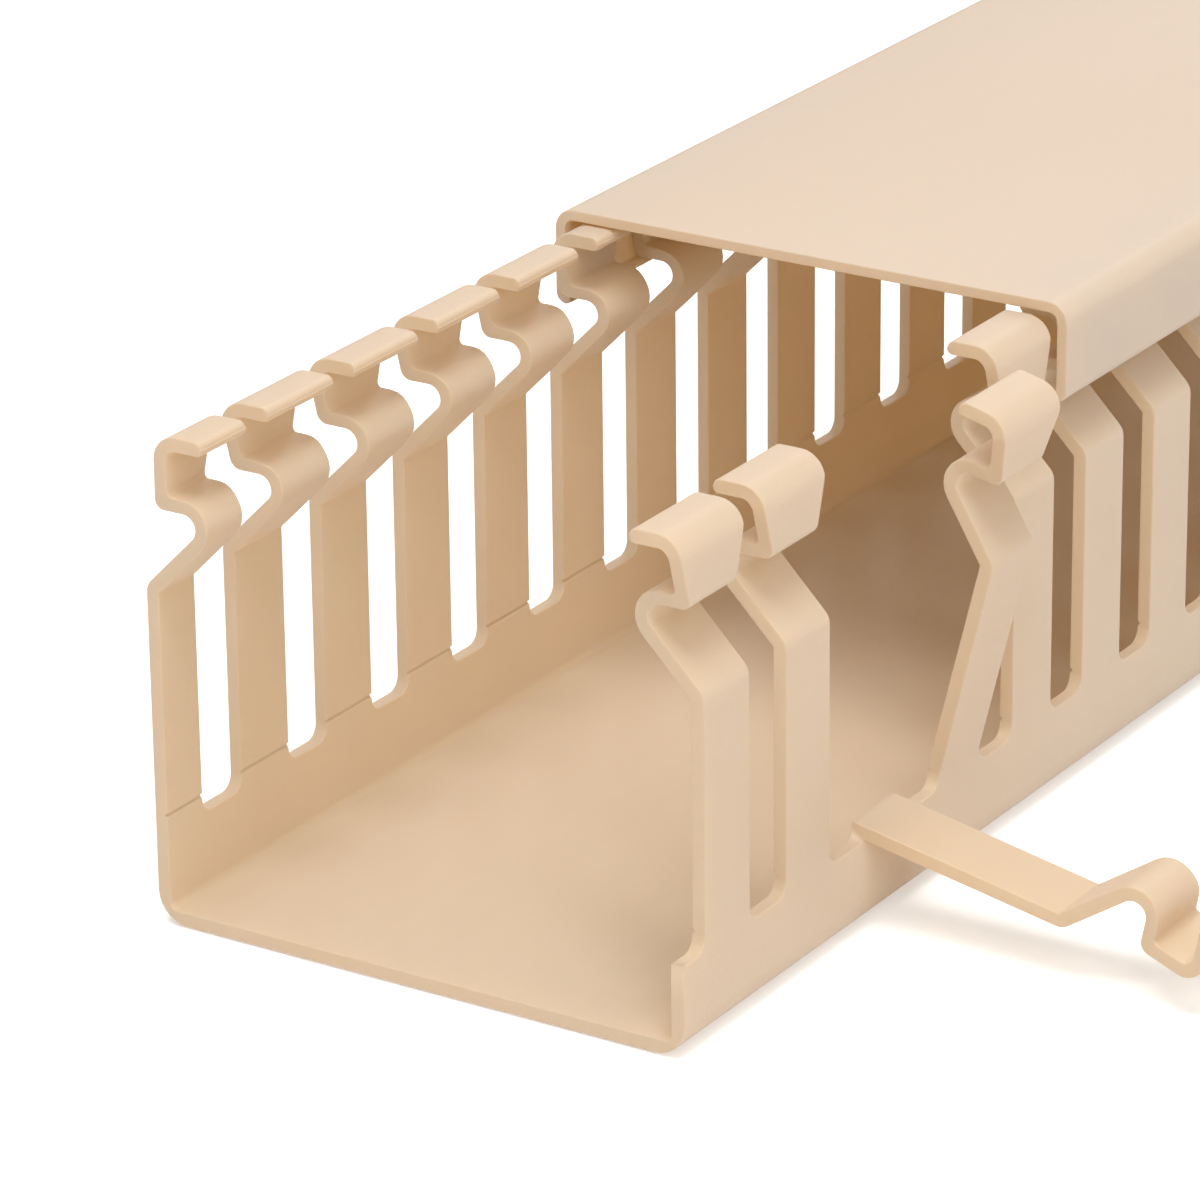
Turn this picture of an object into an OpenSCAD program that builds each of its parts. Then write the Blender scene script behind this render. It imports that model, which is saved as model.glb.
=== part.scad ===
// Slotted wiring duct with its clip-on cover.
// X is across the duct, Y runs along it, Z is up from its flat back. The origin is the back's centre.

/* [Duct] */
// Length of the duct
duct_l = 1000; // [300:20:2000]
// Width over the two side walls
duct_w = 82; // [60:1:120]
// Height to the top of the finger heads
duct_h = 69.4; // [66:0.1:80]
// Thickness of the plastic
wall_t = 2; // [1.6:0.1:2.4]
// Outer radius of the two bottom corners
corner_r = 4.5; // [3:0.1:8]

/* [Slots] */
// Distance from one finger to the next
pitch = 20; // [18:0.5:26]
// Width of a slot between two fingers
slot_w = 9; // [7:0.5:11]
// Height of the slot bottoms above the back of the duct
slot_z = 13; // [10:0.5:18]
// Radius of a slot's bottom corners
slot_r = 2; // [1:0.1:3]
// Width of the gap between two finger heads
head_gap = 5; // [3:0.1:6.5]
// Place of the left wall's first slot, from the near end
left_start = 8; // [6:0.5:10]
// Place of the right wall's first slot, which the near end cuts
right_start = -3.8; // [-5:0.1:-2]

/* [Fingers] */
// Height of the sloped part of a finger, from its elbow to its head
slope_h = 11; // [10:0.5:13]
// Outer radius of the elbow
elbow_r = 2.5; // [2.5:0.5:6]
// Slope of a finger above its elbow, from level
elbow_angle = 45.5; // [43:0.5:50]
// Radius of the neck under a head
neck_r = 1.9; // [1.2:0.1:2.2]

/* [Heads] */
// Height of a finger head
head_h = 10.4; // [9:0.1:12]
// Depth of a finger head, from its back to the tip of its lip
head_d = 7.7; // [7:0.1:10]
// Radius of a head's top corner
head_r = 3.6; // [2.4:0.1:4]

/* [Score line] */
// Height of the groove where a finger folds or breaks off
score_z = 15.5; // [14:0.5:20]
// Depth of the groove
score_d = 0.4; // [0.2:0.1:0.8]
// Height of the groove
score_h = 0.8; // [0.4:0.1:1.2]
// Number of the right wall's finger that is folded out
folded_finger = 3; // [1:1:3]
// Angle that it is folded through
fold_angle = 101; // [95:1:103]
// Number of the right wall's finger that is pushed out
pushed_finger = 4; // [4:1:6]
// Angle that it is pushed through
push_angle = 14; // [4:1:16]

/* [Cover] */
// Length of the cover
cover_l = 1000; // [300:20:2000]
// Distance that the cover is slid back from the near end
cover_back = 99; // [60:1:160]
// Thickness of the cover
cover_t = 1.6; // [1.2:0.1:2]
// Radius of the cover's top corners
cover_r = 3; // [2:0.1:4]
// Clearance between the cover and the finger heads
cover_gap = 0.3; // [0.2:0.05:0.5]
// How far the cover's hooks reach in under the heads
hook_reach = 1.2; // [0.8:0.1:1.6]

/* [Hidden] */
beige = "#d9bd9c";
pale_beige = "#e3cdb6";
fine_step = 22.5;
coarse_step = 30;
fine_r = 2;
head_step = cover_t + cover_gap;
head_z = duct_h - head_h;
elbow_z = head_z - slope_h;
stub_z = score_z - 1;
fold_root = 2;

// Points of an outline whose corners are rounded. Each corner is [x, y, radius].
function unit(v) = v / norm(v);
function corner_arc(a, b, c, r) =
    let (u = unit(a - b), v = unit(c - b), half = acos(u * v) / 2)
    let (centre = b + unit(u + v) * r / sin(half), turn = 180 - 2 * half)
    let (steps = ceil(turn / (r < fine_r ? coarse_step : fine_step)), side = sign(u.y * v.x - u.x * v.y))
    let (from = b + u * r / tan(half) - centre)
    [for (i = [0:steps]) let (t = side * turn * i / steps)
        centre + [from.x * cos(t) - from.y * sin(t), from.x * sin(t) + from.y * cos(t)]];
function place(corner) = [corner.x, corner.y];
function rounded(corners) = let (n = len(corners)) [
    for (i = [0:n - 1]) let (before = corners[(i + n - 1) % n], here = corners[i], after = corners[(i + 1) % n])
        each here[2] == 0 ? [place(here)]
            : corner_arc(place(before), place(here), place(after), here[2])
];

// Half of the duct's section, as [distance in from the outer face, height, radius]
elbow_slope = tan(elbow_angle);
inner_elbow_z = elbow_z - wall_t / cos(elbow_angle) + wall_t * elbow_slope;
outer_neck = (head_z - elbow_z) / elbow_slope;
inner_neck = wall_t + (head_z + wall_t - inner_elbow_z) / elbow_slope;
lip_tip = head_step + head_d;
cut_depth = max(lip_tip, inner_neck) + 1;

outer_side = [
    [0, 0, corner_r],
    [0, elbow_z, elbow_r],
    [outer_neck, head_z, neck_r],
    [head_step, head_z, 1.3],
    [head_step, duct_h, head_r],
    [lip_tip, duct_h, wall_t / 2]
];
inner_side = [
    [lip_tip, duct_h - wall_t, wall_t / 3],
    [head_step + wall_t, duct_h - wall_t, head_r - wall_t],
    [head_step + wall_t, head_z + wall_t, 0.8],
    [inner_neck, head_z + wall_t, neck_r + wall_t],
    [wall_t, inner_elbow_z, elbow_r - wall_t],
    [wall_t, wall_t, 1]
];
function wall_corners(side) = [for (c = side) [duct_w / 2 - c.x, c.y, c[2]]];
function mirrored(corners) = [for (i = [len(corners) - 1:-1:0]) [-corners[i].x, corners[i].y, corners[i][2]]];

module duct_section() {
    half = concat(wall_corners(outer_side), wall_corners(inner_side));
    polygon(rounded(concat(half, mirrored(half))));
}

// The slots of each wall, as [near edge, far edge]. A stub left at the far end is trimmed off.
finger_w = pitch - slot_w;
overhang = (slot_w - head_gap) / 2;
least_stub = 4;
function slot_end(start) = duct_l - start - slot_w < least_stub ? duct_l + slot_w : start + slot_w;
function slots(first, from, to) = [
    for (start = [first:pitch:duct_l]) if (start < to && slot_end(start) > from) [start, slot_end(start)]
];

module slot_cut(near, far) {
    flare_z = head_z + 0.5;
    lip_z = duct_h - 3;
    above = duct_h + 1;
    translate([duct_w / 2 - cut_depth, 0, 0])
        rotate([90, 0, 90])
            linear_extrude(cut_depth + 1)
                polygon(rounded([
                    [near, slot_z, slot_r], [far, slot_z, slot_r],
                    [far, flare_z, 0], [far - overhang, lip_z, 0], [far - overhang, above, 0],
                    [near + overhang, above, 0], [near + overhang, lip_z, 0], [near, flare_z, 0]
                ]));
}

module score_cut(from, to) {
    face = duct_w / 2 - wall_t;
    translate([0, to, score_z])
        rotate([90, 0, 0])
            linear_extrude(to - from)
                polygon([
                    [face - 1, -score_h / 2], [face, -score_h / 2], [face + score_d, 0],
                    [face, score_h / 2], [face - 1, score_h / 2]
                ]);
}

// A run of the slotted duct from one place along it to another
module slotted_run(from, to) {
    difference() {
        translate([0, to, 0])
            rotate([90, 0, 0])
                linear_extrude(to - from) duct_section();
        for (slot = slots(right_start, from, to)) slot_cut(slot[0], slot[1]);
        mirror([1, 0, 0])
            for (slot = slots(left_start, from, to)) slot_cut(slot[0], slot[1]);
        score_cut(from - 1, to + 1);
        mirror([1, 0, 0]) score_cut(from - 1, to + 1);
    }
}

// Space of one finger of the right wall, out to the middle of the slots beside it
function finger_start(number) = right_start + slot_w + (number - 1) * pitch;
module finger_space(number, bottom) {
    translate([duct_w / 2 - cut_depth, finger_start(number) - slot_w / 2, bottom])
        cube([cut_depth + 1, pitch, duct_h - bottom + 1]);
}

// A finger turned outward about its score line
module turned_finger(number, angle) {
    hinge_x = duct_w / 2 - wall_t;
    start = finger_start(number);
    intersection() {
        translate([hinge_x, 0, score_z])
            rotate([0, angle, 0])
                translate([-hinge_x, 0, -score_z])
                    intersection() {
                        slotted_run(start - slot_w, start + pitch);
                        finger_space(number, score_z - fold_root);
                    }
        translate([hinge_x, start - slot_w, 0])
            cube([duct_h, pitch + slot_w, 2 * duct_h]);
    }
}

// Moves what is drawn from the near end onwards, so that the duct's middle is at the origin
module centred() {
    translate([0, -duct_l / 2, 0]) children();
}

module duct_base() {
    color(beige) centred() {
        difference() {
            slotted_run(0, duct_l);
            finger_space(folded_finger, stub_z);
            finger_space(pushed_finger, stub_z);
        }
        turned_finger(folded_finger, fold_angle);
        turned_finger(pushed_finger, push_angle);
    }
}

// Half of the cover's section, as [distance in from its outer face, height, radius]
cover_z = duct_h + cover_gap + cover_t;
hook_z = head_z - cover_gap;
cover_side = [
    [0, hook_z - cover_t, cover_t],
    [0, cover_z, cover_r]
];
cover_inside = [
    [cover_t, cover_z - cover_t, cover_r - cover_t],
    [cover_t, hook_z, 0],
    [cover_t + hook_reach, hook_z, 0.4],
    [cover_t + hook_reach, hook_z - cover_t, 0.8]
];

module cover_section() {
    outside = wall_corners(cover_side);
    inside = wall_corners(cover_inside);
    polygon(rounded(concat(outside, mirrored(outside), mirrored(inside), inside)));
}

module cover() {
    color(pale_beige) centred()
        translate([0, cover_back + cover_l, 0])
            rotate([90, 0, 0])
                linear_extrude(cover_l) cover_section();
}

duct_base();
cover();
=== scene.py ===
"""Looks of the slotted wiring duct.

The duct and its cover are rebuilt as fine sheets of plastic, with their material, light and camera."""
import math

import bpy
from mathutils import Matrix, Vector


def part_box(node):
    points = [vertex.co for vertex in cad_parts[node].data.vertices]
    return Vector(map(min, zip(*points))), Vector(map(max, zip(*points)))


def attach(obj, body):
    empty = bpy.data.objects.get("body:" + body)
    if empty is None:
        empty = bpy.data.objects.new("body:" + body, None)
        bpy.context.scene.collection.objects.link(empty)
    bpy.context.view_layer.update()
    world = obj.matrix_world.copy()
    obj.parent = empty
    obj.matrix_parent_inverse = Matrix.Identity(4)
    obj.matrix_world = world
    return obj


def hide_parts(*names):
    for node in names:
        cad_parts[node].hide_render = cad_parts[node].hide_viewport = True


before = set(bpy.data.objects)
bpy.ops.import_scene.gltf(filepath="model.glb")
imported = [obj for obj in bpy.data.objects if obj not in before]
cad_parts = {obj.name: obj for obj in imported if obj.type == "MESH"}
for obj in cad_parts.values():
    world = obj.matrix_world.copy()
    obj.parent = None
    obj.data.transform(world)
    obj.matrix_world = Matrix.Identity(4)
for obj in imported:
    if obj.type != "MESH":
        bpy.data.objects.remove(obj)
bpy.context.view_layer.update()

MM = 0.001

# ---------------------------------------------------------------- sizes, in millimetres
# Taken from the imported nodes
base_low, base_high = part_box("duct_base")
cover_low, cover_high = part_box("cover")
NEAR_Y = base_low.y / MM
DUCT_L = (base_high.y - base_low.y) / MM
HALF_W = -base_low.x / MM
COVER_NEAR = cover_low.y / MM
COVER_L = (cover_high.y - cover_low.y) / MM
COVER_TOP = cover_high.z / MM

# The same named sizes as in the part's source
WALL_T = 2.0
CORNER_R = 4.5
COVER_T = 1.6
COVER_GAP = 0.3
COVER_R = 3.0
HOOK_REACH = 1.2
DUCT_H = COVER_TOP - COVER_T - COVER_GAP
PITCH = 20.0
SLOT_W = 9.0
SLOT_Z = 13.0
SLOT_R = 2.0
HEAD_GAP = 5.0
LEFT_START = 8.0
RIGHT_START = -3.8
SLOPE_H = 11.0
ELBOW_R = 2.5
ELBOW_ANGLE = math.radians(45.5)
NECK_R = 1.9
HEAD_H = 10.4
HEAD_D = 7.7
HEAD_R = 3.6
SCORE_Z = 15.5
SCORE_D = 0.4
SCORE_H = 0.8
FOLDED_FINGER, FOLD_ANGLE = 3, math.radians(101)
PUSHED_FINGER, PUSH_ANGLE = 4, math.radians(14)

HEAD_STEP = COVER_T + COVER_GAP
HEAD_Z = DUCT_H - HEAD_H
ELBOW_Z = HEAD_Z - SLOPE_H
SLOPE = math.tan(ELBOW_ANGLE)
INNER_ELBOW_Z = ELBOW_Z - WALL_T / math.cos(ELBOW_ANGLE) + WALL_T * SLOPE
OUTER_NECK = SLOPE_H / SLOPE
INNER_NECK = WALL_T + (HEAD_Z + WALL_T - INNER_ELBOW_Z) / SLOPE
LIP_TIP = HEAD_STEP + HEAD_D
OVERHANG = (SLOT_W - HEAD_GAP) / 2
FLARE_Z = HEAD_Z + 0.5
LIP_Z = DUCT_H - 3
LEAST_STUB = 4.0

# Rounding that only the looks have
CUT_EDGE = 0.22
EDGE_STEPS = 3


# ---------------------------------------------------------------- sheets of plastic
def arc(before, corner, after, radius, steps):
    """Points of the arc that rounds a corner, each (depth, height)."""
    before, corner, after = Vector(before), Vector(corner), Vector(after)
    u = (before - corner).normalized()
    v = (after - corner).normalized()
    half = math.acos(max(-1, min(1, u.dot(v)))) / 2
    centre = corner + (u + v).normalized() * radius / math.sin(half)
    start = corner + u * radius / math.tan(half) - centre
    turn = math.pi - 2 * half
    side = 1 if u.y * v.x - u.x * v.y > 0 else -1
    points = []
    for i in range(steps + 1):
        t = side * turn * i / steps
        points.append(Vector((
            centre.x + start.x * math.cos(t) - start.y * math.sin(t),
            centre.y + start.x * math.sin(t) + start.y * math.cos(t))))
    return points


def thick_sheet(name, pairs, faces, edge=CUT_EDGE):
    """A closed mesh from a sheet whose vertices are (outer, inner) pairs, with rounded cut edges.

    Faces turn left seen from outside."""
    following, before = {}, {}
    directed = set()
    for face in faces:
        for a, b in zip(face, face[1:] + face[:1]):
            directed.add((a, b))
    for a, b in directed:
        if (b, a) not in directed:
            following[a] = b
            before[b] = a
    verts, outer_id, inner_id, rims = [], {}, {}, {}

    def put(point):
        verts.append(point)
        return len(verts) - 1

    def into_sheet(layer, v, across):
        here = pairs[v][layer]
        left = []
        for p, q in ((pairs[before[v]][layer], here), (here, pairs[following[v]][layer])):
            d = q - p
            d -= across * d.dot(across)
            if d.length > 1e-6:
                left.append(across.cross(d).normalized())
        if len(left) == 2:
            return (left[0] + left[1]) / max(0.35, 1 + left[0].dot(left[1]))
        return left[0]

    for v, (outer, inner) in enumerate(pairs):
        if v not in following:
            outer_id[v] = put(outer)
            inner_id[v] = put(inner)
            continue
        across = (outer - inner).normalized()
        r = min(edge, 0.3 * (outer - inner).length)
        out_in = into_sheet(0, v, across)
        in_in = into_sheet(1, v, across)
        rim = []
        for j in range(EDGE_STEPS + 1):
            a = math.pi / 2 * j / EDGE_STEPS
            rim.append(put(outer + out_in * r * (1 - math.sin(a)) - across * r * (1 - math.cos(a))))
        for j in range(EDGE_STEPS, -1, -1):
            a = math.pi / 2 * j / EDGE_STEPS
            rim.append(put(inner + in_in * r * (1 - math.sin(a)) + across * r * (1 - math.cos(a))))
        rims[v] = rim
        outer_id[v] = rim[0]
        inner_id[v] = rim[-1]

    polygons = []
    for face in faces:
        polygons.append([outer_id[v] for v in face])
        polygons.append([inner_id[v] for v in reversed(face)])
    for a, b in following.items():
        for j in range(len(rims[a]) - 1):
            polygons.append([rims[b][j], rims[a][j], rims[a][j + 1], rims[b][j + 1]])
    mesh = bpy.data.meshes.new(name)
    mesh.from_pydata([v * MM for v in verts], [], polygons)
    mesh.validate()
    mesh.update()
    for polygon in mesh.polygons:
        polygon.use_smooth = True
    piece = bpy.data.objects.new(name, mesh)
    bpy.context.scene.collection.objects.link(piece)
    weighted = piece.modifiers.new("even shading", "WEIGHTED_NORMAL")
    weighted.weight = 100
    weighted.keep_sharp = True
    return piece


# ---------------------------------------------------------------- the duct
ROW0_Z = SLOT_Z + SLOT_R
TROUGH_Z = 8.0
FLOOR_EDGE = 9.0


def finger_rows():
    """A finger from the top of the slots' bottom corners to the tip of its lip.

    Its rows are pairs (outer, inner) of (depth, height)."""
    rows = [
        (Vector((0, ROW0_Z)), Vector((WALL_T, ROW0_Z))),
        (Vector((0, SCORE_Z - SCORE_H / 2)), Vector((WALL_T, SCORE_Z - SCORE_H / 2))),
        (Vector((0, SCORE_Z)), Vector((WALL_T - SCORE_D, SCORE_Z))),
        (Vector((0, SCORE_Z + SCORE_H / 2)), Vector((WALL_T, SCORE_Z + SCORE_H / 2))),
    ]
    outer = [
        ((0, ELBOW_Z), ELBOW_R, 5),
        ((OUTER_NECK, HEAD_Z), NECK_R, 9),
        ((HEAD_STEP, HEAD_Z), 1.3, 4),
        ((HEAD_STEP, DUCT_H), HEAD_R, 7),
        ((LIP_TIP, DUCT_H), WALL_T / 2, 4),
    ]
    inner = [
        ((WALL_T, INNER_ELBOW_Z), ELBOW_R - WALL_T, 5),
        ((INNER_NECK, HEAD_Z + WALL_T), NECK_R + WALL_T, 9),
        ((HEAD_STEP + WALL_T, HEAD_Z + WALL_T), 0.8, 4),
        ((HEAD_STEP + WALL_T, DUCT_H - WALL_T), HEAD_R - WALL_T, 7),
        ((LIP_TIP, DUCT_H - WALL_T), WALL_T / 3, 4),
    ]

    def chain(corners, start, end):
        points = []
        places = [start] + [c[0] for c in corners] + [end]
        for i, (place, radius, steps) in enumerate(corners):
            points += arc(places[i], place, places[i + 2], radius, steps)
        return points

    middle = DUCT_H - WALL_T / 2
    outside = chain(outer, (0, SCORE_Z), (LIP_TIP, middle - 1))
    inside = chain(inner, (WALL_T, SCORE_Z), (LIP_TIP, middle + 1))
    return rows + list(zip(outside, inside))


ROWS = finger_rows()


def overhang_at(z):
    """How far a head reaches past its finger on each side, along the duct."""
    return OVERHANG * max(0, min(1, (z - FLARE_Z) / (LIP_Z - FLARE_Z)))


class Sheet:
    """Vertices and faces of the duct's sheet.

    Seen flat, y runs along the duct, and the rows run up each wall from the floor."""

    def __init__(self):
        self.pairs = []
        self.faces = []

    def add(self, side, y, outer, inner, y_inner=None):
        x = lambda depth: side * (HALF_W - depth)
        y_inner = y if y_inner is None else y_inner
        self.pairs.append((
            Vector((x(outer[0]), NEAR_Y + y, outer[1])),
            Vector((x(inner[0]), NEAR_Y + y_inner, inner[1]))))
        return len(self.pairs) - 1

    def face(self, side, ids):
        self.faces.append(list(ids) if side > 0 else list(reversed(ids)))


def spans(start):
    """The slots and the fingers of one wall, clipped to the duct."""
    slots = []
    y = start
    while y < DUCT_L:
        far = y + SLOT_W
        if DUCT_L - far < LEAST_STUB:
            far = DUCT_L
        if far > 0:
            slots.append((max(0, y), far))
        y += PITCH
    fingers = []
    if slots[0][0] > 0:
        fingers.append((0, slots[0][0]))
    for a, b in zip(slots, slots[1:]):
        fingers.append((a[1], b[0]))
    if slots[-1][1] < DUCT_L:
        fingers.append((slots[-1][1], DUCT_L))
    return slots, fingers


def turned(point, angle):
    """A point (depth, height) turned outward about the score line on the inner face."""
    dx, dz = WALL_T - point[0], point[1] - SCORE_Z
    return Vector((
        WALL_T - (dx * math.cos(angle) + dz * math.sin(angle)),
        SCORE_Z - dx * math.sin(angle) + dz * math.cos(angle)))


def finger_shape(side, number):
    """The rows of one finger, and for the folded one the height at which its outer side ends."""
    if side > 0 and number == PUSHED_FINGER:
        rows = []
        for k, (outer, inner) in enumerate(ROWS):
            if k < 2:
                rows.append((outer, inner))
            elif k == 2:
                rows.append((turned(outer, PUSH_ANGLE / 2), inner))
            else:
                rows.append((turned(outer, PUSH_ANGLE), turned(inner, PUSH_ANGLE)))
        return rows, None
    if side > 0 and number == FOLDED_FINGER:
        # Its underside meets the wall's outer face at the root, and the score line opens above
        along = Vector((-math.sin(FOLD_ANGLE), math.cos(FOLD_ANGLE)))
        under = turned((0, SCORE_Z), FOLD_ANGLE)
        reach = under.x / math.sin(FOLD_ANGLE)
        root = under + along * reach
        rows = [
            (Vector((0, root.y - 0.06)), Vector((WALL_T, ROW0_Z))),
            (Vector((0, root.y - 0.03)), Vector((WALL_T, SCORE_Z - 0.2))),
            (root, Vector((WALL_T - 0.05, SCORE_Z - 0.02))),
            (root + along * 0.6, Vector((WALL_T, SCORE_Z)) + along * 0.9),
        ]
        rows += [(turned(outer, FOLD_ANGLE), turned(inner, FOLD_ANGLE)) for outer, inner in ROWS[4:]]
        return rows, root.y - 0.06
    return ROWS, None


def build_wall(sheet, side, start):
    """One wall above the trough. Returns its lowest row as (y, vertex)."""
    slots, fingers = spans(start)
    by_near = {}
    by_far = {}
    for number, (near, far) in enumerate(fingers, 1 if side > 0 else 0):
        rows, outer_end = finger_shape(side, number)
        near_ids, far_ids = [], []
        for k, (outer, inner) in enumerate(rows):
            height_o = ROWS[k][0].y
            height_i = ROWS[k][1].y
            spread = [overhang_at(height_o), overhang_at(height_i)]
            if near == 0:
                near_ids.append(sheet.add(side, 0, outer, inner))
            else:
                near_ids.append(sheet.add(side, near - spread[0], outer, inner, near - spread[1]))
            if far == DUCT_L:
                far_ids.append(sheet.add(side, far, outer, inner))
            else:
                far_ids.append(sheet.add(side, far + spread[0], outer, inner, far + spread[1]))
        if near == 0:
            middle = near_ids[0]
            where = 0
        elif far == DUCT_L:
            middle = far_ids[0]
            where = DUCT_L
        else:
            where = (near + far) / 2
            middle = sheet.add(side, where, rows[0][0], rows[0][1])
        for k in range(len(rows) - 1):
            low = [near_ids[k], far_ids[k]]
            if k == 0 and middle not in low:
                low = [near_ids[0], middle, far_ids[0]]
            sheet.face(side, low + [far_ids[k + 1], near_ids[k + 1]])
        shape = {
            "near": near_ids[0], "far": far_ids[0],
            "middle": middle, "where": where, "outer_end": outer_end}
        by_near[round(near, 3)] = shape
        by_far[round(far, 3)] = shape

    bottom = []

    def low(y):
        bottom.append((y, sheet.add(side, y, (0, TROUGH_Z), (WALL_T, TROUGH_Z))))
        return bottom[-1][1]

    def corner(y, direction, shape):
        """The rounded bottom corner beside a finger, from the slot's bottom up to just under the finger."""
        ids = []
        for i in range(5):
            a = math.pi / 2 * i / 5
            dy, z = SLOT_R * math.sin(a), SLOT_Z + SLOT_R * (1 - math.cos(a))
            z_out = z if shape["outer_end"] is None else SLOT_Z + (shape["outer_end"] - SLOT_Z) * i / 5
            ids.append(sheet.add(side, y - direction * (SLOT_R - dy), (0, z_out), (WALL_T, z)))
        return ids

    previous = None
    for near, far in slots:
        before = by_far.get(round(near, 3))
        after = by_near.get(round(far, 3))
        y0 = before["where"] if before else 0
        y1 = after["where"] if after else DUCT_L
        first = previous if previous is not None else low(y0)
        last = low(y1)
        ring = [first, last]
        if after:
            ring += [v for v in (after["middle"], after["near"]) if v not in ring]
            ring += list(reversed(corner(far, 1, after)))
        else:
            ring.append(sheet.add(side, DUCT_L, (0, SLOT_Z), (WALL_T, SLOT_Z)))
        if before:
            ring += corner(near, -1, before)
            ring.append(before["far"])
            if before["middle"] != before["far"]:
                ring.append(before["middle"])
        else:
            ring.append(sheet.add(side, 0, (0, SLOT_Z), (WALL_T, SLOT_Z)))
        sheet.face(side, ring)
        previous = last
    return bottom


def build_trough(sheet, side, row):
    """The rounded bottom corner of one side. Returns the row where the flat floor begins."""
    outer = arc((0, TROUGH_Z), (0, 0), (TROUGH_Z, 0), CORNER_R, 7)
    inner = arc((WALL_T, TROUGH_Z), (WALL_T, WALL_T), (TROUGH_Z, WALL_T), 1.0, 7)
    profile = list(zip(outer, inner))
    profile.append((Vector((FLOOR_EDGE, 0)), Vector((FLOOR_EDGE, WALL_T))))
    for o, i in profile:
        lower = [(y, sheet.add(side, y, o, i)) for y, _ in row]
        for (_, a), (_, b), (_, c), (_, d) in zip(lower, lower[1:], row[1:], row):
            sheet.face(side, [a, b, c, d])
        row = lower
    return row


def join_floor(sheet, left, right):
    """The flat floor between the two sides: triangles between rows whose places along the duct differ."""
    i = j = 0
    while i < len(left) - 1 or j < len(right) - 1:
        step_left = j == len(right) - 1 or (i < len(left) - 1 and left[i + 1][0] <= right[j + 1][0])
        if step_left:
            sheet.faces.append([left[i][1], left[i + 1][1], right[j][1]])
            i += 1
        else:
            sheet.faces.append([left[i][1], right[j + 1][1], right[j][1]])
            j += 1


def build_duct():
    """The whole duct as one sheet, from the right wall's lips over the floor to the left wall's."""
    sheet = Sheet()
    right = build_trough(sheet, 1, build_wall(sheet, 1, RIGHT_START))
    left = build_trough(sheet, -1, build_wall(sheet, -1, LEFT_START))
    join_floor(sheet, left, right)
    return thick_sheet("duct_plastic", sheet.pairs, sheet.faces)


def build_cover():
    """The cover: its section run along it, with rounded cut ends."""
    hook_z = HEAD_Z - COVER_GAP
    bottom = hook_z - COVER_T
    reach = COVER_T + HOOK_REACH
    outer = [(reach, bottom + 0.5)] + arc((reach, bottom), (0, bottom), (0, COVER_TOP), COVER_T, 6)
    outer += arc((0, bottom), (0, COVER_TOP), (HALF_W, COVER_TOP), COVER_R, 8)
    under = COVER_TOP - COVER_T
    inner = [(reach, hook_z - 0.3)]
    inner += [(COVER_T + HOOK_REACH * share, hook_z) for share in (0.8, 0.6, 0.4, 0.2, 0.05, 0)]
    inner.append((COVER_T, hook_z + 0.2))
    inner += arc((COVER_T, bottom), (COVER_T, under), (HALF_W, under), COVER_R - COVER_T, 8)
    half = list(zip(outer, inner))
    section = [(HALF_W - o[0], o[1], HALF_W - i[0], i[1]) for o, i in half]
    section += [(-a, b, -c, d) for a, b, c, d in reversed(section)]
    pairs, faces = [], []
    for x, z, xi, zi in section:
        for y in (0, COVER_L):
            pairs.append((Vector((x, COVER_NEAR + y, z)), Vector((xi, COVER_NEAR + y, zi))))
    for k in range(len(section) - 1):
        faces.append([2 * k, 2 * k + 1, 2 * k + 3, 2 * k + 2])
    return thick_sheet("cover_plastic", pairs, faces)


duct = build_duct()
cover = build_cover()
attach(duct, "base")
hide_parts("duct_base")
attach(cover, "lid")
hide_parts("cover")


# ---------------------------------------------------------------- material
def linear(r, g, b):
    """A screen colour, 0 to 255, as scene values."""
    return tuple(((c / 255 + 0.055) / 1.055) ** 2.4 for c in (r, g, b)) + (1.0,)


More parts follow.
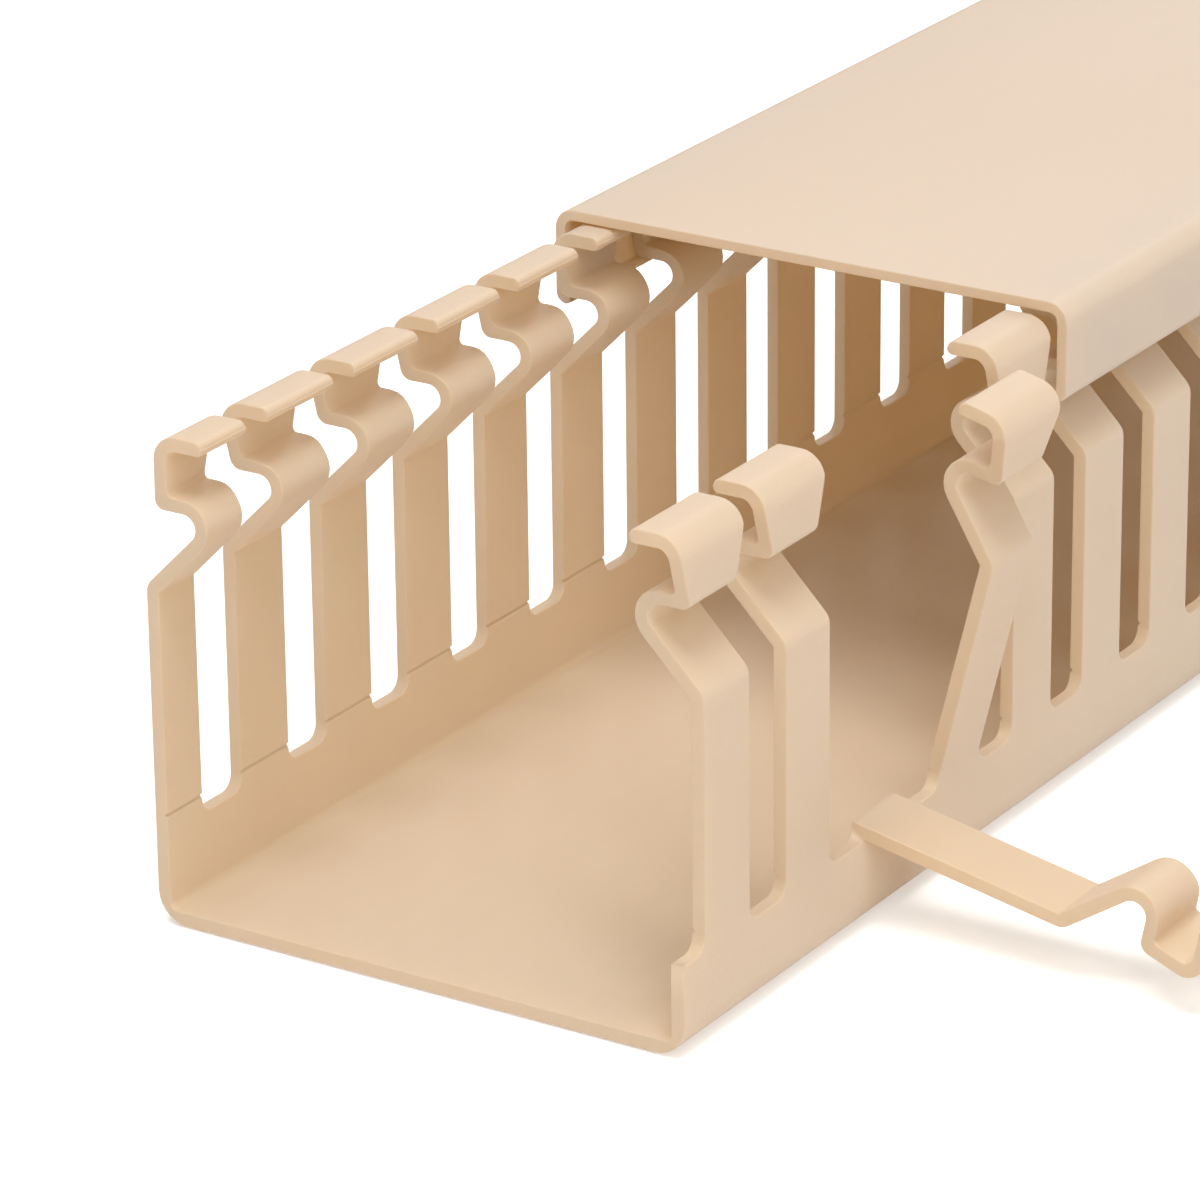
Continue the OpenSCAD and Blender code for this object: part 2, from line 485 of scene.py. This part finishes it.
def pvc(name, colour, deep, glow, seed):
    """Extruded rigid PVC.

    It has faint die streaks along Y, slight clouding, fine grain, a soft sheen, and a little light
    that shines through the thin walls."""
    material = bpy.data.materials.new(name)
    material.use_nodes = True
    nodes, links = material.node_tree.nodes, material.node_tree.links
    nodes.clear()
    out = nodes.new("ShaderNodeOutputMaterial")
    shader = nodes.new("ShaderNodeBsdfPrincipled")
    shader.inputs["IOR"].default_value = 1.5
    shader.inputs["Sheen Weight"].default_value = 0.7
    shader.inputs["Sheen Roughness"].default_value = 0.7
    coords = nodes.new("ShaderNodeTexCoord")

    def thin(front, share):
        """A front shader with a share of light through the wall, which colours it more deeply."""
        through = nodes.new("ShaderNodeBsdfTranslucent")
        through.inputs["Color"].default_value = glow
        mix = nodes.new("ShaderNodeMixShader")
        mix.inputs[0].default_value = share
        links.new(front.outputs["BSDF"], mix.inputs[1])
        links.new(through.outputs["BSDF"], mix.inputs[2])
        return mix.outputs[0]

    # Only what the camera sees has the detail. Bounced light meets a plain surface, to save time.
    detailed = thin(shader, 0.35)
    matt = nodes.new("ShaderNodeBsdfDiffuse")
    matt.inputs["Color"].default_value = colour
    plain = thin(matt, 0.25)
    path = nodes.new("ShaderNodeLightPath")
    pick = nodes.new("ShaderNodeMixShader")
    links.new(path.outputs["Is Camera Ray"], pick.inputs[0])
    links.new(plain, pick.inputs[1])
    links.new(detailed, pick.inputs[2])
    links.new(pick.outputs[0], out.inputs["Surface"])

    def noise(scale, stretch, detail, offset):
        mapping = nodes.new("ShaderNodeMapping")
        mapping.inputs["Scale"].default_value = stretch
        mapping.inputs["Location"].default_value = (offset, offset * 0.7, offset * 0.3)
        links.new(coords.outputs["Object"], mapping.inputs["Vector"])
        texture = nodes.new("ShaderNodeTexNoise")
        texture.inputs["Scale"].default_value = scale
        texture.inputs["Detail"].default_value = detail
        links.new(mapping.outputs["Vector"], texture.inputs["Vector"])
        return texture.outputs["Fac"]

    clouds = noise(28.0, (1, 0.5, 1), 1.0, seed)
    streaks = noise(420.0, (1, 0.008, 1), 0.0, seed + 3)
    grain = noise(2600.0, (1, 1, 1), 0.0, seed + 5)

    def blend(a, b, factor):
        mix = nodes.new("ShaderNodeMix")
        mix.inputs[0].default_value = factor
        links.new(a, mix.inputs[2])
        links.new(b, mix.inputs[3])
        return mix.outputs[0]

    ramp = nodes.new("ShaderNodeValToRGB")
    ramp.color_ramp.elements[0].position = 0.3
    ramp.color_ramp.elements[0].color = deep
    ramp.color_ramp.elements[1].position = 0.7
    ramp.color_ramp.elements[1].color = colour
    links.new(blend(clouds, streaks, 0.35), ramp.inputs["Fac"])
    links.new(ramp.outputs["Color"], shader.inputs["Base Color"])
    gloss = nodes.new("ShaderNodeMapRange")
    gloss.inputs["To Min"].default_value = 0.40
    gloss.inputs["To Max"].default_value = 0.56
    links.new(blend(grain, streaks, 0.5), gloss.inputs["Value"])
    links.new(gloss.outputs["Result"], shader.inputs["Roughness"])
    relief = nodes.new("ShaderNodeBump")
    relief.inputs["Strength"].default_value = 0.12
    relief.inputs["Distance"].default_value = 0.0002
    links.new(grain, relief.inputs["Height"])
    links.new(relief.outputs["Normal"], shader.inputs["Normal"])
    return material


glow = linear(250, 216, 162)
duct_pvc = pvc("duct_pvc_look", linear(230, 216, 188), linear(227, 211, 181), glow, 1.0)
cover_pvc = pvc("cover_pvc_look", linear(229, 216, 193), linear(227, 212, 187), glow, 7.0)
duct.data.materials.append(duct_pvc)
cover.data.materials.append(cover_pvc)


# ---------------------------------------------------------------- floor, light, camera
FLOOR_HALF = 6.0
FLOOR_DROP = 0.0003


def seen_directly(nodes, links):
    """1 for what the camera sees, also in a reflection or through the plastic, else 0."""
    path = nodes.new("ShaderNodeLightPath")
    value = path.outputs["Is Camera Ray"]
    for other in ("Is Glossy Ray", "Is Transmission Ray"):
        either = nodes.new("ShaderNodeMath")
        either.operation = "MAXIMUM"
        links.new(value, either.inputs[0])
        links.new(path.outputs[other], either.inputs[1])
        value = either.outputs[0]
    return value


def white_stage():
    """A pale floor that keeps shadows."""
    mesh = bpy.data.meshes.new("floor")
    s = FLOOR_HALF
    mesh.from_pydata([(-s, -s, 0), (s, -s, 0), (s, s, 0), (-s, s, 0)], [], [(0, 1, 2, 3)])
    floor = bpy.data.objects.new("floor", mesh)
    floor.location.z = -FLOOR_DROP
    bpy.context.scene.collection.objects.link(floor)
    material = bpy.data.materials.new("floor_white")
    material.use_nodes = True
    nodes, links = material.node_tree.nodes, material.node_tree.links
    nodes.clear()
    out = nodes.new("ShaderNodeOutputMaterial")
    diffuse = nodes.new("ShaderNodeBsdfDiffuse")
    diffuse.inputs["Color"].default_value = (0.86, 0.86, 0.86, 1)
    glow = nodes.new("ShaderNodeEmission")
    coords = nodes.new("ShaderNodeTexCoord")
    distance = nodes.new("ShaderNodeVectorMath")
    distance.operation = "LENGTH"
    links.new(coords.outputs["Object"], distance.inputs[0])
    # The floor stays pale where the lamps no longer reach
    paler = nodes.new("ShaderNodeMapRange")
    paler.inputs["From Min"].default_value = 1.4
    paler.inputs["From Max"].default_value = 3.0
    paler.inputs["To Min"].default_value = 0.42
    paler.inputs["To Max"].default_value = 0.88
    links.new(distance.outputs["Value"], paler.inputs["Value"])
    level = nodes.new("ShaderNodeMath")
    level.operation = "MULTIPLY"
    links.new(seen_directly(nodes, links), level.inputs[0])
    links.new(paler.outputs["Result"], level.inputs[1])
    links.new(level.outputs[0], glow.inputs["Strength"])
    add = nodes.new("ShaderNodeAddShader")
    links.new(diffuse.outputs[0], add.inputs[0])
    links.new(glow.outputs[0], add.inputs[1])
    links.new(add.outputs[0], out.inputs["Surface"])
    mesh.materials.append(material)


def world_light(level):
    """A white world whose light on the scene has the given level."""
    world = bpy.data.worlds.new("studio")
    bpy.context.scene.world = world
    world.use_nodes = True
    nodes, links = world.node_tree.nodes, world.node_tree.links
    nodes.clear()
    out = nodes.new("ShaderNodeOutputWorld")
    ambient = nodes.new("ShaderNodeBackground")
    ambient.inputs["Color"].default_value = (1, 1, 1, 1)
    ambient.inputs["Strength"].default_value = level
    seen = nodes.new("ShaderNodeBackground")
    seen.inputs["Color"].default_value = (1, 1, 1, 1)
    seen.inputs["Strength"].default_value = 1.0
    mix = nodes.new("ShaderNodeMixShader")
    links.new(seen_directly(nodes, links), mix.inputs[0])
    links.new(ambient.outputs[0], mix.inputs[1])
    links.new(seen.outputs[0], mix.inputs[2])
    links.new(mix.outputs[0], out.inputs["Surface"])


def area_light(name, place, target, size, watts):
    """A square soft lamp that points at a target."""
    data = bpy.data.lights.new(name, "AREA")
    data.shape = "SQUARE"
    data.size = size
    data.energy = watts
    lamp = bpy.data.objects.new(name, data)
    lamp.location = place
    lamp.rotation_euler = (Vector(target) - Vector(place)).to_track_quat("-Z", "Y").to_euler()
    bpy.context.scene.collection.objects.link(lamp)


white_stage()
world_light(0.13)
focus = (0, -0.45, 0.03)
area_light("key", (1.45, -1.9, 1.6), focus, 1.5, 20)
area_light("right", (2.4, -0.4, 0.8), focus, 1.5, 8)
area_light("top", (0.2, -0.9, 2.4), focus, 1.4, 50)
area_light("back", (-0.8, 2.2, 1.6), focus, 1.5, 23)

# The camera's place and turn, fitted to the photograph
EYE = Vector((0.42279, base_low.y - 0.61540, 0.35506))
azimuth, elevation, roll = (math.radians(a) for a in (32.606, 21.968, -0.663))
forward = Vector((
    -math.sin(azimuth) * math.cos(elevation),
    math.cos(azimuth) * math.cos(elevation),
    -math.sin(elevation)))
right = Vector((math.cos(azimuth), math.sin(azimuth), 0))
up = right.cross(forward)
tilted_right = right * math.cos(roll) + up * math.sin(roll)
tilted_up = up * math.cos(roll) - right * math.sin(roll)
lens = bpy.data.cameras.new("camera")
lens.sensor_width = 36
lens.lens = 190.70
lens.clip_start = 0.05
lens.clip_end = 50
camera = bpy.data.objects.new("camera", lens)
camera.matrix_world = Matrix((
    (tilted_right.x, tilted_up.x, -forward.x, EYE.x),
    (tilted_right.y, tilted_up.y, -forward.y, EYE.y),
    (tilted_right.z, tilted_up.z, -forward.z, EYE.z),
    (0, 0, 0, 1)))
bpy.context.scene.collection.objects.link(camera)
bpy.context.scene.camera = camera
bpy.context.scene.view_settings.view_transform = "Standard"
